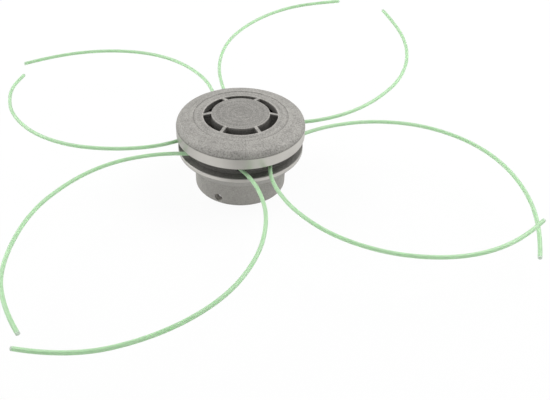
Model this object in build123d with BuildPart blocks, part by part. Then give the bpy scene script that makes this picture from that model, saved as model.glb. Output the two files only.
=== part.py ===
"""Multi-line trimmer head with four nylon lines.

Two aluminium castings meet halfway up an open groove. Four curved channels lie on that
parting, half in each casting, and each channel holds one line, whose two ends stand out of
the groove. The head stands on its boss: the origin is at the middle of the boss's foot, and
+Z is the spin axis.
"""

import os
from math import asin, atan2, cos, pi, radians, sin, sqrt, tan

from build123d import *

os.makedirs("parts", exist_ok=True)

# Heights, one on top of the other from the boss's foot, in millimetres
boss_height = 35.2  # foot to the flange's machined edge
flange_edge = 3.7  # machined edge of the flange
line_gap = 10.3  # open groove between the flange and the cover's rim
rim_height = 9.6  # machined rim of the cover
dome_rise = 8.9  # rim to the slots' outer edge
disc_rise = 1.5  # slots' outer edge to the middle disc

# Radii of the outside
rim_radius = 55.5
flange_inset = 1.0  # flange's edge inside the rim
drum_radius = 47.0  # inner wall of the line groove
boss_foot_radius = 40.1
boss_draft = 0.3  # how much wider the boss is at its shoulder than at its foot
shoulder_radius = 46.5  # cast shoulder that thickens the flange underneath
panel_radius = 40.9  # edge of the sunk ring around the slots
slot_outer = 31.9
disc_radius = 25.0

# Walls and small forms of the castings
boss_wall = 5.6  # at the foot
floor_thickness = 7.0  # wall between the boss's hollow and the parting
shoulder_depth = 9.7  # shoulder under the flange's edge
groove_round = 1.2
edge_break = 0.5
foot_round = 1.0
flange_chamfer = 0.4
dome_step = 0.2  # cast dome inside the machined rim
dome_round = 6.1
dome_round_share = 0.97  # most of the dome's side that its rounding may take
dome_edge_drop = 3.2  # where the dome's slope would meet its wall, under the panel's edge
panel_drop = 0.6  # panel's outer edge under the slots' edge
panel_step = 0.4
dome_wall = 6.0
rim_wall = 7.0
disc_wall = 6.2
disc_round = 0.6
column_wall = 5.5
web_count = 6
web_width = 2.7
web_drop = 0.4  # webs' outer ends under the slots' edge
web_foot = 3.0  # webs above the parting
web_root = 1.0  # depth of the webs' ends in the walls that they join
pocket_floor = 9.0  # hollow of the cover above the parting
rib_count = 4
rib_width = 3.0
rib_depth = 10.0

# Lines and the channels that hold them
line_diameter = 3.3
channel_clearance = 0.4
channel_count = 4
channel_angle = 62.0  # direction of the first channel's middle
channel_bend = 60.0  # radius of the channel's middle line
channel_nearest = 36.7  # channel's middle line to the spin axis
flare_depth = 9.0  # flare inside the drum's wall
flare_reach = 8.0  # flare past the drum's wall
flare_radius = 4.2

# Drive: captive nut, its plate and the seat for the gearbox
nut_flats = 17.0
nut_height = 8.0
nut_bore = 8.7
nut_clearance = 0.15
shaft_bore = 10.5
plate_radius = 22.0
plate_thickness = 2.0
plate_hole = 10.8
plate_clearance = 0.2
seat_height = 22.0  # gearbox seat above the foot
seat_radius = 18.0
pilot_diameter = 25.5
pilot_depth = 3.0
lock_hole = 7.0  # hole in the boss for a locking pin
lock_height = 5.8
lock_angle = 242.0

# Fasteners
screw_count = 4
screw_diameter = 5.0
screw_length = 20.0
screw_ring_radius = 29.5
screw_hole_clearance = 0.25
thread_clearance = 0.05
tapped_depth = 13.0
screw_boss = 10.0
head_diameter = 8.5
head_height = 5.0
socket_flats = 4.0
socket_depth = 2.5
washer_diameter = 9.0
washer_thickness = 1.0
washer_clearance = 0.2
pin_count = 2
pin_angle = 17.0
pin_ring_radius = 41.0
pin_diameter = 4.0
pin_depth = 4.0  # pin in each casting
pin_clearance = 0.05
pin_headroom = 0.5

# Heights and places worked out from the above
flange_top = boss_height + flange_edge
rim_bottom = flange_top + line_gap
parting = flange_top + line_gap / 2
rim_top = rim_bottom + rim_height
ring_top = rim_top + dome_rise
disc_top = ring_top + disc_rise
shoulder_bottom = boss_height - shoulder_depth
flange_radius = rim_radius - flange_inset
boss_radius = boss_foot_radius + boss_draft
boss_inner = boss_foot_radius - boss_wall
floor_under = parting - floor_thickness
panel_edge = ring_top - panel_drop
dome_radius = rim_radius - dome_step
dome_side = dome_rise - panel_drop - dome_edge_drop
dome_turn = pi / 2 - atan2(dome_edge_drop, dome_radius - panel_radius)
dome_fillet = min(dome_round, dome_round_share * dome_side / tan(dome_turn / 2))
column_inner = disc_radius - column_wall
plate_bottom = parting - plate_thickness
nut_bottom = plate_bottom - nut_height
channel_radius = line_diameter / 2 + channel_clearance
channel_centre = channel_nearest + channel_bend
screw_radius = screw_diameter / 2

# Where a channel's middle line leaves the drum, and which way it points there
exit_along = (drum_radius**2 + channel_centre**2 - channel_bend**2) / (2 * channel_centre)
exit_across = sqrt(drum_radius**2 - exit_along**2)
exit_turn = asin(exit_across / channel_bend)

# Routes of the lines, from one tip through the head to the other: across, away, and above the parting
line_routes = {
    "line_front_left": (
        (-142, -217, -10), (-155.5, -199, -7.3), (-168.5, -162, -4.9), (-162, -103, -2.9),
        (-136.5, -62, -1.4), (-107.5, -38, -0.5), (-75, -26.7, -0.1), (-47.4, -24.5, 0),
        (-26.6, -27.4, 0), (-7.9, -37.4, 0),
        (5.5, -53.5, 0), (16.2, -77.6, -0.1), (21.2, -111, -0.4), (13.6, -152.3, -1.4),
        (-10.3, -192.5, -2.9), (-53, -223.5, -4.9), (-106, -238, -7.3), (-143.5, -228.8, -10),
    ),
    "line_front_right": (
        (230.7, -104, -5), (208, -128, -3.6), (164, -149.5, -2.4), (114.5, -150, -1.4),
        (71.8, -132.5, -0.6), (42.6, -103, -0.2), (27.6, -72.2, -0.1), (23.6, -47.6, 0),
        (27.4, -26.6, 0), (37.4, -7.9, 0),
        (53, 6.2, 0), (81.5, 21.8, -0.1), (122.5, 31.2, -0.9), (168.5, 25.7, -2.8),
        (208, 0.3, -5.7), (230.8, -40, -9.7), (234.3, -95, -14.5), (223.3, -130, -20),
    ),
    "line_back_right": (
        (156, 228, 20), (170, 191, 14.5), (170.7, 140.6, 9.8), (155.5, 97, 5.7),
        (129.5, 64.5, 2.8), (103.8, 43.9, 1), (76, 30.5, 0.2), (47.4, 24.5, 0),
        (26.6, 27.4, 0), (7.9, 37.4, 0),
        (-6.2, 53, 0), (-17.2, 83.2, 0.2), (-24, 133.5, 1), (-15, 188, 2.8),
        (12.8, 230.4, 5.7), (45.7, 253.4, 9.8), (79.7, 259.6, 14.5), (111, 253, 20),
    ),
    "line_back_left": (
        (-229, 155, -10), (-196.3, 170, -7.3), (-146.2, 177.5, -4.9), (-99.6, 168.4, -2.9),
        (-63.6, 145.4, -1.4), (-36.8, 110.6, -0.5), (-25.2, 77, -0.1), (-24.5, 47.4, 0),
        (-27.4, 26.6, 0), (-37.4, 7.9, 0),
        (-53, -6.2, 0), (-79.7, -16.6, -0.1), (-116, -19, -0.3), (-152.7, -11.5, -0.8),
        (-186.8, 10, -2.1), (-213.4, 45.3, -4.3), (-225.8, 83.8, -7.4), (-228.4, 114.4, -10.9),
        (-226.2, 139, -15),
    ),
}


def corner(across, up):
    """The corner of the profile in hand that lies nearest to a place."""
    return vertices().sort_by_distance((across, up))[0]


def cut_channels():
    """Cut the four curved channels and their flared mouths from the casting in hand."""
    for turn in range(channel_count):
        angle = channel_angle + turn * 360 / channel_count
        outward = Vector(1, 0, 0).rotate(Axis.Z, angle)
        with Locations(outward * channel_centre + Vector(0, 0, parting)):
            Torus(channel_bend, channel_radius, mode=Mode.SUBTRACT)
        for side in (-1, 1):
            sideways = Vector(0, side, 0).rotate(Axis.Z, angle)
            mouth = outward * exit_along + sideways * exit_across + Vector(0, 0, parting)
            way_out = outward * sin(exit_turn) + sideways * cos(exit_turn)
            with Locations(Plane(mouth - way_out * flare_depth, z_dir=way_out)):
                Cone(
                    channel_radius,
                    flare_radius,
                    flare_depth + flare_reach,
                    align=(Align.CENTER, Align.CENTER, Align.MIN),
                    mode=Mode.SUBTRACT,
                )


# Lower casting: hollow boss, flange and the lower half of the drum
with BuildPart() as lower_body:
    with BuildSketch(Plane.XZ):
        with BuildLine():
            Polyline(
                (boss_inner, 0),
                (boss_foot_radius, 0),
                (boss_radius, shoulder_bottom),
                (shoulder_radius, shoulder_bottom),
                (flange_radius, boss_height),
                (flange_radius, flange_top),
                (drum_radius, flange_top),
                (drum_radius, parting),
                (0, parting),
                (0, seat_height),
                (seat_radius, seat_height),
                (seat_radius, floor_under),
                (boss_inner, floor_under),
                close=True,
            )
        make_face()
        fillet(corner(boss_radius, shoulder_bottom), groove_round)
        fillet(corner(shoulder_radius, shoulder_bottom), edge_break)
        fillet(corner(drum_radius, flange_top), groove_round)
        chamfer(corner(flange_radius, flange_top), flange_chamfer)
        chamfer(corner(flange_radius, boss_height), edge_break)
        fillet(corner(boss_foot_radius, 0), foot_round)
        chamfer(corner(boss_inner, 0), edge_break)
        chamfer(corner(seat_radius, seat_height), edge_break)
    revolve(axis=Axis.Z)
    # Ribs between the gearbox seat and the boss's wall
    rib_reach = (boss_inner + boss_foot_radius) / 2
    with PolarLocations(0, rib_count, start_angle=pin_angle):
        with Locations((0, 0, floor_under)):
            Box(
                rib_reach,
                rib_width,
                rib_depth,
                align=(Align.MIN, Align.CENTER, Align.MAX),
            )
    # Seat for the nut's plate, hexagon for the nut, and the way through for the shaft
    with BuildSketch(Plane.XY.offset(plate_bottom)):
        Circle(plate_radius + plate_clearance)
    extrude(amount=plate_thickness, mode=Mode.SUBTRACT)
    with BuildSketch(Plane.XY.offset(nut_bottom)):
        RegularPolygon(nut_flats / 2 + nut_clearance, 6, major_radius=False)
    extrude(amount=nut_height, mode=Mode.SUBTRACT)
    with BuildSketch(Plane.XY.offset(seat_height)):
        Circle(shaft_bore / 2)
    extrude(amount=nut_bottom - seat_height, mode=Mode.SUBTRACT)
    with BuildSketch(Plane.XY.offset(seat_height)):
        Circle(pilot_diameter / 2)
    extrude(amount=pilot_depth, mode=Mode.SUBTRACT)
    # Holes for the cover screws and the locating pins
    with BuildSketch(Plane.XY.offset(floor_under)):
        with PolarLocations(screw_ring_radius, screw_count, start_angle=channel_angle):
            Circle(screw_radius + screw_hole_clearance)
    extrude(amount=floor_thickness, mode=Mode.SUBTRACT)
    with BuildSketch(Plane.XY.offset(parting - pin_depth)):
        with PolarLocations(pin_ring_radius, pin_count, start_angle=pin_angle):
            Circle(pin_diameter / 2 + pin_clearance)
    extrude(amount=pin_depth, mode=Mode.SUBTRACT)
    # Hole for a locking pin, through one side of the boss
    lock_direction = Vector(1, 0, 0).rotate(Axis.Z, lock_angle)
    with BuildSketch(Plane(Vector(0, 0, lock_height) + lock_direction * seat_radius, z_dir=lock_direction)):
        Circle(lock_hole / 2)
    extrude(amount=boss_radius, mode=Mode.SUBTRACT)
    cut_channels()
lower_body.part.label = "lower_body"
export_step(lower_body.part, "parts/lower_body.step")

# Upper casting: dome with its machined rim, upper half of the drum, and the column under the disc
with BuildPart() as top_cover:
    with BuildSketch(Plane.XZ):
        with BuildLine():
            Polyline(
                (slot_outer, parting),
                (drum_radius, parting),
                (drum_radius, rim_bottom),
                (rim_radius, rim_bottom),
                (rim_radius, rim_top),
                (dome_radius, rim_top),
                (dome_radius, panel_edge - dome_edge_drop),
                (panel_radius, panel_edge),
                (panel_radius - panel_step, panel_edge - panel_step),
                (slot_outer, ring_top),
                (slot_outer, ring_top - dome_wall),
                (panel_radius, ring_top - dome_wall),
                (rim_radius - rim_wall, rim_top),
                (rim_radius - rim_wall, parting + pocket_floor),
                (slot_outer, parting + pocket_floor),
                close=True,
            )
        make_face()
        fillet(corner(dome_radius, panel_edge - dome_edge_drop), dome_fillet)
        fillet(corner(drum_radius, rim_bottom), groove_round)
        fillet(corner(slot_outer, ring_top), edge_break)
        chamfer(corner(rim_radius, rim_bottom), edge_break)
    revolve(axis=Axis.Z)
    with BuildSketch(Plane.XZ):
        with BuildLine():
            Polyline(
                (column_inner, parting),
                (disc_radius, parting),
                (disc_radius, disc_top),
                (0, disc_top),
                (0, disc_top - disc_wall),
                (column_inner, disc_top - disc_wall),
                close=True,
            )
        make_face()
        fillet(corner(disc_radius, disc_top), disc_round)
    revolve(axis=Axis.Z)
    # Webs that carry the disc and leave the arc slots between them, sloping down from the disc to the dome
    for turn in range(web_count):
        outward = Vector(1, 0, 0).rotate(Axis.Z, turn * 360 / web_count)
        with BuildSketch(Plane((0, 0, 0), x_dir=outward, z_dir=outward.cross(Vector(0, 0, 1)))):
            with BuildLine():
                Polyline(
                    (disc_radius - web_root, parting + web_foot),
                    (slot_outer + web_root, parting + web_foot),
                    (slot_outer + web_root, ring_top - web_drop),
                    (disc_radius, disc_top),
                    (disc_radius - web_root, disc_top),
                    close=True,
                )
            make_face()
        extrude(amount=web_width / 2, both=True)
    # Bosses that the cover screws reach into
    with BuildSketch(Plane.XY.offset(parting)):
        with PolarLocations(screw_ring_radius, screw_count, start_angle=channel_angle):
            Circle(screw_boss / 2)
    extrude(amount=tapped_depth + screw_radius)
    with BuildSketch(Plane.XY.offset(parting)):
        with PolarLocations(screw_ring_radius, screw_count, start_angle=channel_angle):
            Circle(screw_radius + thread_clearance)
    extrude(amount=tapped_depth, mode=Mode.SUBTRACT)
    with BuildSketch(Plane.XY.offset(parting)):
        with PolarLocations(pin_ring_radius, pin_count, start_angle=pin_angle):
            Circle(pin_diameter / 2 + pin_clearance)
    extrude(amount=pin_depth + pin_headroom, mode=Mode.SUBTRACT)
    cut_channels()
top_cover.part.label = "top_cover"
export_step(top_cover.part, "parts/top_cover.step")

# Captive drive nut, with its corners turned down at both ends
nut_corner = nut_flats / 2 / cos(radians(30))
nut_bevel = (nut_corner - nut_flats / 2) * tan(radians(30))
with BuildPart() as drive_nut:
    with BuildSketch(Plane.XY.offset(nut_bottom)):
        RegularPolygon(nut_flats / 2, 6, major_radius=False)
        Circle(nut_bore / 2, mode=Mode.SUBTRACT)
    extrude(amount=nut_height)
    with BuildSketch(Plane.XZ):
        with BuildLine():
            Polyline(
                (0, nut_bottom),
                (nut_flats / 2, nut_bottom),
                (nut_corner, nut_bottom + nut_bevel),
                (nut_corner, nut_bottom + nut_height - nut_bevel),
                (nut_flats / 2, nut_bottom + nut_height),
                (0, nut_bottom + nut_height),
                close=True,
            )
        make_face()
    revolve(axis=Axis.Z, mode=Mode.INTERSECT)
drive_nut.part.label = "drive_nut"
export_step(drive_nut.part, "parts/drive_nut.step")

# Steel plate that keeps the nut in its hexagon
with BuildPart() as nut_plate:
    with BuildSketch(Plane.XY.offset(plate_bottom)):
        Circle(plate_radius)
        Circle(plate_hole / 2, mode=Mode.SUBTRACT)
    extrude(amount=plate_thickness)
nut_plate.part.label = "nut_plate"
export_step(nut_plate.part, "parts/nut_plate.step")

# Washers and socket screws that hold the cover, put in through the boss's hollow
washer_bottom = floor_under - washer_thickness
with BuildPart() as screw_washers:
    with BuildSketch(Plane.XY.offset(washer_bottom)):
        with PolarLocations(screw_ring_radius, screw_count, start_angle=channel_angle):
            Circle(washer_diameter / 2)
            Circle(screw_radius + washer_clearance, mode=Mode.SUBTRACT)
    extrude(amount=washer_thickness)
screw_washers.part.label = "screw_washers"
export_step(screw_washers.part, "parts/screw_washers.step")

with BuildPart() as cover_screws:
    with BuildSketch(Plane.XY.offset(washer_bottom - head_height)):
        with PolarLocations(screw_ring_radius, screw_count, start_angle=channel_angle):
            Circle(head_diameter / 2)
    extrude(amount=head_height)
    chamfer(edges().group_by(Axis.Z)[0], edge_break)
    with BuildSketch(Plane.XY.offset(washer_bottom)):
        with PolarLocations(screw_ring_radius, screw_count, start_angle=channel_angle):
            Circle(screw_radius)
    extrude(amount=screw_length)
    with BuildSketch(Plane.XY.offset(washer_bottom - head_height)):
        with PolarLocations(screw_ring_radius, screw_count, start_angle=channel_angle):
            RegularPolygon(socket_flats / 2, 6, major_radius=False)
    extrude(amount=socket_depth, mode=Mode.SUBTRACT)
cover_screws.part.label = "cover_screws"
export_step(cover_screws.part, "parts/cover_screws.step")

# Pins that line up the two halves of the channels
with BuildPart() as locating_pins:
    with BuildSketch(Plane.XY.offset(parting - pin_depth)):
        with PolarLocations(pin_ring_radius, pin_count, start_angle=pin_angle):
            Circle(pin_diameter / 2)
    extrude(amount=2 * pin_depth)
    chamfer(edges().group_by(Axis.Z)[0], edge_break)
    chamfer(edges().group_by(Axis.Z)[-1], edge_break)
locating_pins.part.label = "locating_pins"
export_step(locating_pins.part, "parts/locating_pins.step")

# Lines: straight runs joined by arcs as large as their runs allow
arc_share = 0.45
for name, route in line_routes.items():
    points = [Vector(across, away, parting + above) for across, away, above in route]
    runs = [end - start for start, end in zip(points, points[1:])]
    bends = []
    for first, second in zip(runs, runs[1:]):
        half_turn = radians(first.get_angle(second)) / 2
        bends.append(arc_share * min(first.length, second.length) / tan(half_turn))
    with BuildPart() as line:
        with BuildLine():
            path = FilletPolyline(*points, radius=bends)
        with BuildSketch(Plane(path @ 0, z_dir=path % 0)):
            Circle(line_diameter / 2)
        sweep()
    line.part.label = name
    export_step(line.part, f"parts/{name}.step")
    filled = line.part.volume / (pi * line_diameter**2 / 4 * path.length)
    print(f"{name}: length {path.length:.0f}, volume over section by length {filled:.5f}")
    print("  radii", [round(bend) for bend in bends])
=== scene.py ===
"""Looks for the multi-line trimmer head: cast and turned aluminium, steel fixings and nylon lines."""

from math import cos, pi, sin

import bpy
import numpy as np
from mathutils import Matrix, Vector


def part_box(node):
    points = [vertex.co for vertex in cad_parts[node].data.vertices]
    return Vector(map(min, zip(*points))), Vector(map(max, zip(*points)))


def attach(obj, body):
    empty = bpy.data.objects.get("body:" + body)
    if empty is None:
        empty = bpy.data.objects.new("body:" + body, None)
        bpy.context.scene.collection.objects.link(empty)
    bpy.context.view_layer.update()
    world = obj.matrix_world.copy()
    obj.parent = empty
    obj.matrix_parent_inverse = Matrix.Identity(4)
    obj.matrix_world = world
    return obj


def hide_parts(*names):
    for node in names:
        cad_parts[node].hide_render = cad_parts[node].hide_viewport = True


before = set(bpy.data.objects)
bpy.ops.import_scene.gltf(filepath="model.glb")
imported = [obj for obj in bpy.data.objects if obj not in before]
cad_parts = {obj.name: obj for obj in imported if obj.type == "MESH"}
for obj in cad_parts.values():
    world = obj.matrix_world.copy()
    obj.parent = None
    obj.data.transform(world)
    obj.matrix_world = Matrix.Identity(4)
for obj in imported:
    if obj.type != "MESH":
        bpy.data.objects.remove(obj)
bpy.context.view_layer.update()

# Heights and radii of the head in metres, the slope of its webs' tops, and the line's diameter
FLANGE_UNDER = 0.0352
FLANGE_TOP = 0.0389
PARTING = 0.04405
RIM_UNDER = 0.0492
RIM_TOP = 0.0588
PANEL_TOP = 0.0671
DISC_TOP = 0.0692
DRUM_RADIUS = 0.0470
FLANGE_RADIUS = 0.0545
RIM_RADIUS = 0.0555
DISC_RADIUS = 0.0250
SLOT_OUTER = 0.0319
PANEL_RADIUS = 0.0409
BOSS_INNER = 0.0345
BOSS_OUTER = 0.0401
WEB_SLOPE = 0.2405
LINE_DIAMETER = 0.0033

# One millimetre, in metres
MM = 0.001

# Locking-pin hole: its height and radius in metres, and its turn around the axis
PIN_HEIGHT = 0.0058
PIN_RADIUS = 0.0035
PIN_TURN = 242 * pi / 180

# Thread of the drive nut, left-handed, in metres
THREAD_PITCH = 0.00125
THREAD_MINOR = 0.00435
THREAD_MAJOR = 0.0050
COUNTERSINK = 0.0004

# Drive nut: points around it, up its bore and down its sides, and the cone at its ends
NUT_TURN_POINTS = 144
NUT_BORE_POINTS = 72
NUT_SIDE_POINTS = 24
NUT_CONE_SHARE = 0.97
NUT_CONE_ANGLE = pi / 6

# Levels and colours, linear
CAST_LEVEL = 0.335
TURNED_LEVEL = 0.56
WARMTH = 0.065
NYLON_DARK = (0.48, 0.77, 0.45, 1)
NYLON_LIGHT = (0.63, 0.86, 0.59, 1)
NYLON_CUT = (0.70, 0.80, 0.70, 1)
PAPER_WHITE = (0.86, 0.86, 0.86, 1)
BLACK = (0, 0, 0, 1)
WHITE = (1, 1, 1, 1)

# Distance between the rings that the mould left, and length of the greyer cut at a tip, in metres
RING_PITCH = 0.0052
CUT_LENGTH = 0.0020

# Half the width of the paper floor, in metres
FLOOR_HALF = 4.0

# Lamps: place and width in metres, and power in watts
LAMPS = {
    "lamp_left": ((-0.95, 0.3, 0.75), 0.9, 8.4),
    "lamp_right": ((0.75, 0.3, 1.0), 0.9, 10.6),
}

# Camera: sensor and lens in millimetres, shift as a share of the width, place in metres, and turns
SENSOR_WIDTH = 36.0
LENS = 46.59
LENS_SHIFT = 0.0748
CAMERA_PLACE = (0.00061, -0.52244, 0.3842)
CAMERA_PITCH = 0.66452
CAMERA_TURN = 0.012162

# Each line's two ends, from the middle of its channel to the tip: across, away, and above the parting
LINE_ENDS = {
    "line_front_left": (
        (
            (-0.01725, -0.0324, 0), (-0.0266, -0.0274, 0), (-0.0474, -0.0245, 0),
            (-0.075, -0.0267, -0.0001), (-0.1075, -0.038, -0.0005), (-0.1365, -0.062, -0.0014),
            (-0.162, -0.103, -0.0029), (-0.1685, -0.162, -0.0049), (-0.1555, -0.199, -0.0073),
            (-0.142, -0.217, -0.010),
        ),
        (
            (-0.01725, -0.0324, 0), (-0.0079, -0.0374, 0), (0.0055, -0.0535, 0),
            (0.0162, -0.0776, -0.0001), (0.0212, -0.111, -0.0004), (0.0136, -0.1523, -0.0014),
            (-0.0103, -0.1925, -0.0029), (-0.053, -0.2235, -0.0049), (-0.106, -0.238, -0.0073),
            (-0.1435, -0.2288, -0.010),
        ),
    ),
    "line_front_right": (
        (
            (0.0324, -0.01725, 0), (0.0274, -0.0266, 0), (0.0236, -0.0476, 0),
            (0.0276, -0.0722, -0.0001), (0.0426, -0.103, -0.0002), (0.0718, -0.1325, -0.0006),
            (0.1145, -0.150, -0.0014), (0.164, -0.1495, -0.0024), (0.208, -0.128, -0.0036),
            (0.2307, -0.104, -0.005),
        ),
        (
            (0.0324, -0.01725, 0), (0.0374, -0.0079, 0), (0.053, 0.0062, 0),
            (0.0815, 0.0218, -0.0001), (0.1225, 0.0312, -0.0009), (0.1685, 0.0257, -0.0028),
            (0.208, 0.0003, -0.0057), (0.2308, -0.040, -0.0097), (0.2343, -0.095, -0.0145),
            (0.2233, -0.130, -0.020),
        ),
    ),
    "line_back_right": (
        (
            (0.01725, 0.0324, 0), (0.0266, 0.0274, 0), (0.0474, 0.0245, 0),
            (0.076, 0.0305, 0.0002), (0.1038, 0.0439, 0.001), (0.1295, 0.0645, 0.0028),
            (0.1555, 0.097, 0.0057), (0.1707, 0.1406, 0.0098), (0.170, 0.191, 0.0145),
            (0.156, 0.228, 0.020),
        ),
        (
            (0.01725, 0.0324, 0), (0.0079, 0.0374, 0), (-0.0062, 0.053, 0),
            (-0.0172, 0.0832, 0.0002), (-0.024, 0.1335, 0.001), (-0.015, 0.188, 0.0028),
            (0.0128, 0.2304, 0.0057), (0.0457, 0.2534, 0.0098), (0.0797, 0.2596, 0.0145),
            (0.111, 0.253, 0.020),
        ),
    ),
    "line_back_left": (
        (
            (-0.0324, 0.01725, 0), (-0.0274, 0.0266, 0), (-0.0245, 0.0474, 0),
            (-0.0252, 0.077, -0.0001), (-0.0368, 0.1106, -0.0005), (-0.0636, 0.1454, -0.0014),
            (-0.0996, 0.1684, -0.0029), (-0.1462, 0.1775, -0.0049), (-0.1963, 0.170, -0.0073),
            (-0.229, 0.155, -0.010),
        ),
        (
            (-0.0324, 0.01725, 0), (-0.0374, 0.0079, 0), (-0.053, -0.0062, 0),
            (-0.0797, -0.0166, -0.0001), (-0.116, -0.019, -0.0003), (-0.1527, -0.0115, -0.0008),
            (-0.1868, 0.010, -0.0021), (-0.2134, 0.0453, -0.0043), (-0.2258, 0.0838, -0.0074),
            (-0.2284, 0.1144, -0.0109), (-0.2262, 0.139, -0.015),
        ),
    ),
}

# Length of each end along its curve, from the middle of the channel
END_LENGTHS = {
    "line_front_left": (0.298, 0.323),
    "line_front_right": (0.307, 0.334),
    "line_back_right": (0.301, 0.325),
    "line_back_left": (0.315, 0.313),
}


class Wire:
    """A shader socket in a sum: each operator on it adds one Math node."""

    def __init__(self, nodes, socket):
        self.nodes = nodes
        self.socket = socket

    def math(self, operation, *values):
        """The result of one Math node on this socket and the other values."""
        slots = dict(enumerate((self,) + values))
        return self.nodes.node("ShaderNodeMath", {"operation": operation}, slots)

    def reflected(self, operation, value):
        """The same with the value first."""
        return self.nodes.node("ShaderNodeMath", {"operation": operation}, {0: value, 1: self})

    def __add__(self, value):
        return self.math("ADD", value)

    def __radd__(self, value):
        return self.reflected("ADD", value)

    def __sub__(self, value):
        return self.math("SUBTRACT", value)

    def __rsub__(self, value):
        return self.reflected("SUBTRACT", value)

    def __mul__(self, value):
        return self.math("MULTIPLY", value)

    def __rmul__(self, value):
        return self.reflected("MULTIPLY", value)

    def __truediv__(self, value):
        return self.math("DIVIDE", value)

    def __pow__(self, value):
        return self.math("POWER", value)

    def above(self, level, soft):
        """0 under a level and 1 over it, with an edge as wide as soft."""
        return self.nodes.clamp((self - level) / soft + 0.5)

    def between(self, low, high, soft):
        """1 from low to high, and 0 outside, with an edge as wide as soft."""
        return self.above(low, soft) * (1 - self.above(high, soft))


class Nodes:
    """A node tree, and the nodes that expressions add to it."""

    def __init__(self, tree):
        self.tree = tree

    def node(self, kind, settings=None, sockets=None, out=0):
        """A node of any kind: its settings first, then the values or links of its sockets."""
        made = self.tree.nodes.new(kind)
        for key, value in (settings or {}).items():
            setattr(made, key, value)
        for key, value in (sockets or {}).items():
            if isinstance(value, Wire):
                self.tree.links.new(value.socket, made.inputs[key])
            else:
                made.inputs[key].default_value = value
        return Wire(self, made.outputs[out])

    def clamp(self, value):
        """The value held between 0 and 1."""
        return self.node("ShaderNodeClamp", None, {"Value": value})

    def place(self, kind="Object"):
        """Where a point lies."""
        return self.node("ShaderNodeTexCoord", None, None, kind)

    def split(self, where):
        """The three coordinates of a place."""
        parts = self.node("ShaderNodeSeparateXYZ", None, {0: where}).socket.node
        return tuple(Wire(self, parts.outputs[axis]) for axis in "XYZ")

    def distance(self, where, point):
        """How far a place lies from a point."""
        settings = {"operation": "DISTANCE"}
        return self.node("ShaderNodeVectorMath", settings, {0: where, 1: point}, "Value")

    def noise(self, where, scale, detail=3.0, rough=0.55):
        """Smooth noise about 0.5, with scale bumps in each metre."""
        sockets = {"Vector": where, "Scale": scale, "Detail": detail, "Roughness": rough}
        return self.node("ShaderNodeTexNoise", None, sockets)

    def mix(self, factor, first, second):
        """A colour from first to second as the factor goes from 0 to 1."""
        settings = {"data_type": "RGBA", "clamp_factor": True}
        return self.node("ShaderNodeMix", settings, {0: factor, 6: first, 7: second}, 2)


class Finish(Nodes):
    """One material: its Principled shader, and the nodes that feed it."""

    def __init__(self, name, **constants):
        self.material = bpy.data.materials.new(name)
        self.material.use_nodes = True
        super().__init__(self.material.node_tree)
        self.shader = self.tree.nodes["Principled BSDF"]
        for socket, value in constants.items():
            self.shader.inputs[socket.replace("_", " ")].default_value = value

    def feed(self, **sockets):
        """Link what changes over the surface to the shader's sockets."""
        for socket, value in sockets.items():
            self.tree.links.new(value.socket, self.shader.inputs[socket.replace("_", " ")])

    def bump(self, height, distance, strength):
        """A surface that stands up by the height, in units of the distance."""
        sockets = {"Height": height, "Distance": distance, "Strength": strength}
        return self.node("ShaderNodeBump", None, sockets)


def grey(level, warm=WARMTH):
    """A slightly warm grey of a linear level."""
    return (level * (1 + warm / 2), level, level * (1 - warm), 1.0)


def slot_shade(x, y, z, radius):
    """How much painted shade darkens the slots' walls: 0.6 of their level under the webs' sloping tops, or
    less.

    It is less in line with the axis, where it also falls with the depth, on the walls behind on the right,
    and on the webs' sides that show beside the column.
    """
    in_slots = radius.between(DISC_RADIUS - 0.2 * MM, SLOT_OUTER + 0.2 * MM, 0.1 * MM)
    depth = DISC_TOP - (radius - DISC_RADIUS) * WEB_SLOPE - z
    aside = x.math("ABSOLUTE")
    in_line = 1 - aside.above(13.5 * MM, 5 * MM)
    back_right = (1 - in_line) * x.above(0, 10 * MM) * y.above(0, 10 * MM)
    beside_column = aside.above(DISC_RADIUS - 0.5 * MM, MM) * (1 - y.above(MM, 2 * MM))
    lighter = in_line * (0.14 + 0.20 * depth.above(4 * MM, 3 * MM)) + 0.15 * back_right
    lighter = lighter + 0.75 * beside_column * depth.above(6 * MM, 6 * MM)
    return in_slots * depth.above(0.7 * MM, 1.2 * MM) * (0.60 - lighter)


# Painted light: this masks the locking-pin hole's wall, which the castings' colour lightens
def pin_hole_wall(x, y, z, radius):
    """1 on the locking-pin hole's wall, and 0 elsewhere.

    That wall lies within the hole's radius of its axis, in front, and under the boss's outer skin.
    """
    beside_pin = x * sin(PIN_TURN) - y * cos(PIN_TURN)
    over_pin = z - PIN_HEIGHT
    from_pin = (beside_pin * beside_pin + over_pin * over_pin) ** 0.5
    in_hole = 1 - from_pin.above(PIN_RADIUS + 0.1 * MM, 0.1 * MM)
    in_front = 1 - y.above(0, MM)
    return in_hole * in_front * (1 - radius.above(BOSS_OUTER - 1.2 * MM, 0.6 * MM))


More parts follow.
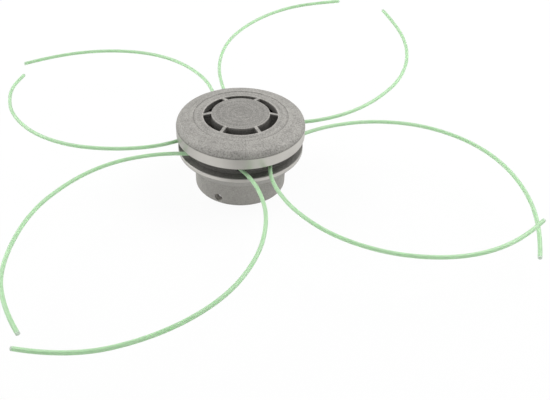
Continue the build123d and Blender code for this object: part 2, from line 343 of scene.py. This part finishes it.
def cast_aluminium(name):
    """Blasted castings: a grainy grey skin, brighter where it was turned, with painted shade in the groove
    and slots.

    The skin's level is a base plus broad mottling, cast grain, fine grit and dark pits, all of them
    noise, and faint rings around the axis on the top. The turned bands lie at the rim's and the flange's
    radius, with marks that run around the axis. The groove is where the radius and height fall between
    the rim and the flange, and painted shade darkens it, most of all on the drum's wall. The slots' walls
    carry painted shade and their edges a painted highlight, and the drilled wall of the locking-pin hole
    is painted lighter than the skin. The panel's lip has a painted highlight and its foot a line of
    painted shade, and the dome's foot over the rim and the flange's chamfer are darkened by painted shade.
    """
    finish = Finish(name, Specular_IOR_Level=0.5)
    where = finish.place()
    x, y, z = finish.split(where)
    radius = (x * x + y * y) ** 0.5
    mottle = finish.noise(where, 75.0, 3.0)
    blotch = finish.noise(where, 260.0, 2.0)
    grain = finish.noise(where, 840.0, 3.0, 0.6)
    grit = finish.noise(where, 2200.0, 2.0, 0.6)
    pits = finish.clamp((finish.noise(where, 430.0, 2.0) - 0.66) * 9.0)

    # Turned rim and flange edge, with the lathe's marks
    rim = radius.above(RIM_RADIUS - 0.12 * MM, 0.1 * MM) * z.between(RIM_UNDER - MM, RIM_TOP, 0.2 * MM)
    flange_edge = radius.above(FLANGE_RADIUS - 0.9 * MM, 0.2 * MM)
    flange_edge = flange_edge * z.between(FLANGE_UNDER + 0.3 * MM, FLANGE_TOP, 0.2 * MM)
    turned = finish.clamp(rim + flange_edge)
    across_marks = finish.node("ShaderNodeCombineXYZ", None, {2: z * 5000.0 + radius * 2500.0})
    marks = finish.noise(across_marks, 1.0, 2.0)

    # Painted shade: in the line groove, most of all on the drum's wall in it, on the flange's chamfer, and
    # on the foot of the dome over the rim
    groove = radius.between(DRUM_RADIUS - 12 * MM, FLANGE_RADIUS - 0.3 * MM, 0.4 * MM)
    groove = groove * z.between(FLANGE_TOP - 0.05 * MM, RIM_UNDER + 0.1 * MM, 0.1 * MM)
    drum_wall_shade = groove * (1 - radius.above(DRUM_RADIUS + 1.2 * MM, MM))
    # Painted shade on the flange's chamfer, which lies under the rim
    chamfer = flange_edge * z.above(FLANGE_TOP - 0.4 * MM, 0.2 * MM)
    dome_foot_shade = radius.above(RIM_RADIUS - 1.2 * MM, 0.8 * MM)
    dome_foot_shade = dome_foot_shade * z.between(RIM_TOP, RIM_TOP + 1.2 * MM, 0.8 * MM)

    # Painted highlight on the lip of the dome around the sunk panel, and painted shade in a line along its
    # foot
    on_top = z.above(PANEL_TOP - 1.2 * MM, 0.4 * MM)
    panel_lip_highlight = on_top * radius.between(PANEL_RADIUS, PANEL_RADIUS + 0.9 * MM, 0.4 * MM)
    panel_foot_shade = on_top * radius.between(PANEL_RADIUS - 0.9 * MM, PANEL_RADIUS - 0.1 * MM, 0.3 * MM)

    # Painted highlight on the edges of the disc and of the panel around the slots
    on_ring = z.above(PANEL_TOP - 0.3 * MM, 0.4 * MM)
    edge_highlight = on_ring * radius.between(DISC_RADIUS - MM, DISC_RADIUS + 0.6 * MM, 0.5 * MM)
    edge_highlight = edge_highlight + 0.6 * on_ring * radius.between(SLOT_OUTER - 0.4 * MM, SLOT_OUTER + 0.9 * MM, 0.5 * MM)

    # Disc, and the rings that the mould left on it and on the panel
    disc = z.above(DISC_TOP - 0.6 * MM, 0.4 * MM) * (1 - radius.above(DISC_RADIUS - 0.3 * MM, 0.6 * MM))
    rings = (radius * (2 * pi / RING_PITCH) + 3.0 * (mottle - 0.5)).math("SINE")
    rings = rings * z.above(DISC_TOP - 3 * MM, MM) * (1 - turned)

    speckle = 0.14 * (mottle - 0.5) + 0.10 * (blotch - 0.5) + 0.57 * (grain - 0.5) + 0.16 * (grit - 0.5)
    speckle = speckle * (0.55 + 0.45 * z.above(RIM_TOP, MM))
    skin = CAST_LEVEL + speckle - 0.10 * pits + 0.026 * rings
    # Painted highlight on the panel's lip and the disc's and slots' edges, and painted shade along the
    # panel's foot
    skin = skin + 0.04 * panel_lip_highlight - 0.05 * panel_foot_shade + 0.11 * edge_highlight
    skin = skin + 0.02 * (1 - z.above(FLANGE_UNDER, MM))
    bright = TURNED_LEVEL + 0.12 * (marks - 0.5) + 0.12 * (mottle - 0.5)
    level = skin * (1 - turned) + bright * turned
    # Painted shade darkens the groove, the drum's wall in it and the slots' walls
    level = level * (1 - 0.38 * groove) * (1 - 0.28 * drum_wall_shade) * (1 - slot_shade(x, y, z, radius))
    # Painted shade on the dome's foot over the rim; the disc is a darker tone of its own
    level = level * (1 - 0.20 * dome_foot_shade) * (1 - 0.19 * disc)
    # Painted shade on the flange's chamfer, and painted light on the locking-pin hole's wall
    level = level * (1 - 0.35 * chamfer) * (1 + 0.7 * pin_hole_wall(x, y, z, radius))
    rough_skin = (grain + grit * 0.35 - pits * 0.6) * (1 - turned)
    finish.feed(
        Base_Color=finish.mix(level, grey(0.0), grey(1.0)),
        Metallic=0.35 + 0.55 * turned,
        Roughness=0.64 - 0.28 * turned + 0.10 * (grain - 0.5),
        Normal=finish.bump(rough_skin + marks * turned * 0.08, 0.3 * MM, 0.8),
    )
    return finish.material


def steel(name, level):
    """Plated steel: a grey of one level with fine grain."""
    finish = Finish(name, Metallic=1.0)
    where = finish.place()
    grain = finish.noise(where, 700.0, 3.0)
    finish.feed(
        Base_Color=finish.mix(level + 0.12 * (grain - 0.5), grey(0.0, 0.0), grey(1.0, 0.0)),
        Roughness=0.34 + 0.2 * (grain - 0.5),
        Normal=finish.bump(grain, 0.05 * MM, 0.6),
    )
    return finish.material


def nylon(name):
    """Extruded line: pale green, slightly clear, with faint clouding along it and greyer cut tips."""
    finish = Finish(
        name,
        IOR=1.53,
        Transmission_Weight=0.30,
        Subsurface_Weight=0.6,
        Subsurface_Radius=(1.0, 1.0, 1.0),
        Subsurface_Scale=2 * MM,
    )
    where = finish.place()
    cloud = finish.noise(where, 140.0, 3.0)
    green = finish.mix(cloud, NYLON_DARK, NYLON_LIGHT)
    cut = 0.0
    for ends in LINE_ENDS.values():
        for *_, (across, away, above) in ends:
            from_tip = finish.distance(where, (across, away, PARTING + above))
            cut = cut + (1 - from_tip.above(CUT_LENGTH, 1.2 * MM))
    finish.feed(
        Base_Color=finish.mix(finish.clamp(cut), green, NYLON_CUT),
        Roughness=0.40 + 0.16 * (cloud - 0.5),
        Normal=finish.bump(finish.noise(where, 900.0, 2.0), 0.1 * MM, 0.1),
    )
    return finish.material


def mesh_piece(name, places, material, node):
    """A closed mesh from a grid of points that wraps both ways: across the rows and along them."""
    rows, columns = places.shape[:2]
    index = np.arange(rows * columns).reshape(rows, columns)
    next_row = np.roll(index, -1, axis=0)
    next_column = np.roll(index, -1, axis=1)
    corner = np.roll(next_row, -1, axis=1)
    faces = np.stack([index, next_row, corner, next_column], axis=-1).reshape(-1, 4)
    mesh = bpy.data.meshes.new(name)
    mesh.from_pydata(places.reshape(-1, 3).tolist(), [], faces.tolist())
    mesh.materials.append(material)
    piece = bpy.data.objects.new(name, mesh)
    bpy.context.scene.collection.objects.link(piece)
    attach(piece, "root")
    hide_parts(node)


def threaded_nut(node, material):
    """Hexagon nut with a cut thread: sections around the axis, each one closed.

    A section goes up the bore, out along the top, down the hexagon and back along the underside. The
    bore's radius is the minor radius plus the thread's depth times a triangle wave, whose phase is the
    height over the pitch plus the angle over a whole turn, so the thread is left-handed. A cone opens
    the bore at both ends. The hexagon's radius is half its flats over the cosine of the angle from the
    middle of the nearest flat, held inside a cone at both ends.
    """
    low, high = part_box(node)
    bottom, top = low[2], high[2]
    half_flats = (high[1] - low[1]) / 2
    turn = np.linspace(0, 2 * pi, NUT_TURN_POINTS, endpoint=False)[None, :]
    height = np.linspace(bottom, top, NUT_BORE_POINTS)[:, None]
    phase = (height - bottom) / THREAD_PITCH + turn / (2 * pi)
    wave = np.abs(2 * (phase % 1) - 1)
    from_end = np.minimum(height - bottom, top - height)
    countersink = THREAD_MAJOR + COUNTERSINK - from_end
    bore = np.maximum(THREAD_MINOR + (THREAD_MAJOR - THREAD_MINOR) * wave, countersink)
    side_height = np.linspace(top, bottom, NUT_SIDE_POINTS)[:, None]
    flat = half_flats / np.cos(turn % (pi / 3) - pi / 6)
    side_from_end = np.minimum(side_height - bottom, top - side_height)
    cone = half_flats * NUT_CONE_SHARE + side_from_end / np.tan(NUT_CONE_ANGLE)
    side = np.minimum(flat, cone)
    radius = np.concatenate([bore, side])
    levels = np.concatenate([height, side_height]) + 0 * turn
    places = np.stack([radius * np.cos(turn), radius * np.sin(turn), levels], axis=-1)
    mesh_piece("threaded_nut", places, material, node)


def line_end(name, points, material, node):
    """Half of a line, as one smooth spline whose control points are the route's points."""
    data = bpy.data.curves.new(name, "CURVE")
    data.dimensions = "3D"
    data.bevel_depth = LINE_DIAMETER / 2
    data.bevel_resolution = 4
    data.resolution_u = 12
    data.use_fill_caps = True
    spline = data.splines.new("NURBS")
    spline.points.add(len(points) - 1)
    for point, (across, away, above) in zip(spline.points, points):
        point.co = (across, away, PARTING + above, 1.0)
    spline.order_u = 3
    spline.use_endpoint_u = True
    data.materials.append(material)
    line = bpy.data.objects.new(name, data)
    bpy.context.scene.collection.objects.link(line)
    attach(line, "root")
    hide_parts(node)
    return line


def dress(node, material):
    """Give a CAD node one material all over."""
    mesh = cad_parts[node].data
    mesh.materials.clear()
    mesh.materials.append(material)


def lines(material):
    """The eight ends of the four lines, each a curve of its own."""
    for node, ends in LINE_ENDS.items():
        for side, points, length in zip(("first", "second"), ends, END_LENGTHS[node]):
            across, away, above = points[0]
            line_end(f"{node}_{side}", points, material, node)
            PARTING + above


def floor():
    """White paper that the camera sees as white, and that keeps a little of the head's shadow.

    Its glow is for camera, glossy and transmission rays. It is weaker in the boss's hollow, where more of
    the paper's lit shading shows, and painted shade dims it in what the metal reflects from straight in
    front and from behind the head.
    """
    near, far = -FLOOR_HALF, FLOOR_HALF
    corners = [(near, near, 0), (far, near, 0), (far, far, 0), (near, far, 0)]
    mesh = bpy.data.meshes.new("floor")
    mesh.from_pydata(corners, [], [(0, 1, 2, 3)])
    paper = Finish("white_paper", Roughness=0.9, Specular_IOR_Level=0.0, Base_Color=PAPER_WHITE)
    rays = paper.node("ShaderNodeLightPath").socket.node
    camera_ray, glossy_ray, clear_ray = (
        Wire(paper, rays.outputs[f"Is {kind} Ray"]) for kind in ("Camera", "Glossy", "Transmission")
    )
    x, y = paper.split(paper.place())[:2]
    in_front = (1 - x.math("ABSOLUTE").above(45 * MM, 50 * MM)) * (1 - y.above(-85 * MM, 30 * MM))
    behind = y.above(-30 * MM, 120 * MM)
    left_behind = (1 - x.above(-70 * MM, 50 * MM)) * behind
    right_behind = x.between(50 * MM, 98 * MM, 30 * MM) * behind
    # Painted shade: the glow seen in the metal is dimmer straight in front of the head and behind it
    glow_with_painted_shade = 1 - 0.48 * glossy_ray * (in_front + 0.8 * left_behind + right_behind)
    glow_colour = paper.mix(glow_with_painted_shade, BLACK, WHITE)
    glow = paper.node("ShaderNodeEmission", None, {"Color": glow_colour, "Strength": 1.0})
    outside = (x * x + y * y).above(BOSS_INNER**2, 0.0001)
    share = 0.93 * (0.50 + 0.50 * outside) * paper.clamp(camera_ray + glossy_ray + clear_ray)
    lit = Wire(paper, paper.shader.outputs[0])
    both = paper.node("ShaderNodeMixShader", None, {0: share, 1: lit, 2: glow})
    paper.tree.links.new(both.socket, paper.tree.nodes["Material Output"].inputs["Surface"])
    mesh.materials.append(paper.material)
    sheet = bpy.data.objects.new("floor", mesh)
    bpy.context.scene.collection.objects.link(sheet)


def studio():
    """White surroundings that get dimmer overhead, and a soft lamp high up on each side."""
    world = bpy.data.worlds.new("surroundings")
    world.use_nodes = True
    sky = Nodes(world.node_tree)
    away, up = sky.split(sky.place("Generated"))[1:]
    background = world.node_tree.nodes["Background"]
    brightness = 0.92 + 0.04 * away - 0.66 * up
    world.node_tree.links.new(brightness.socket, background.inputs["Strength"])
    background.inputs["Color"].default_value = WHITE
    bpy.context.scene.world = world
    for name, (place, width, power) in LAMPS.items():
        light = bpy.data.lights.new(name, "AREA")
        light.size = width
        light.energy = power
        lamp = bpy.data.objects.new(name, light)
        lamp.location = place
        lamp.rotation_euler = Vector(place).to_track_quat("Z", "Y").to_euler()
        bpy.context.scene.collection.objects.link(lamp)


def camera():
    """The photograph's view: straight from the front, looking down, with the head left of the middle."""
    data = bpy.data.cameras.new("camera")
    data.sensor_width = SENSOR_WIDTH
    data.lens = LENS
    data.shift_x = LENS_SHIFT
    view = bpy.data.objects.new("camera", data)
    view.location = CAMERA_PLACE
    view.rotation_euler = (pi / 2 - CAMERA_PITCH, 0.0, CAMERA_TURN)
    bpy.context.scene.collection.objects.link(view)
    bpy.context.scene.camera = view


cast_finish = cast_aluminium("cast_aluminium")
dress("lower_body", cast_finish)
dress("top_cover", cast_finish)
dress("nut_plate", steel("plate_steel", 0.45))
dress("locating_pins", steel("pin_steel", 0.45))
dress("cover_screws", steel("screw_steel", 0.38))
dress("screw_washers", steel("washer_steel", 0.50))
threaded_nut("drive_nut", steel("nut_steel", 0.48))
lines(nylon("nylon"))
floor()
studio()
camera()
bpy.context.scene.view_settings.view_transform = "Standard"
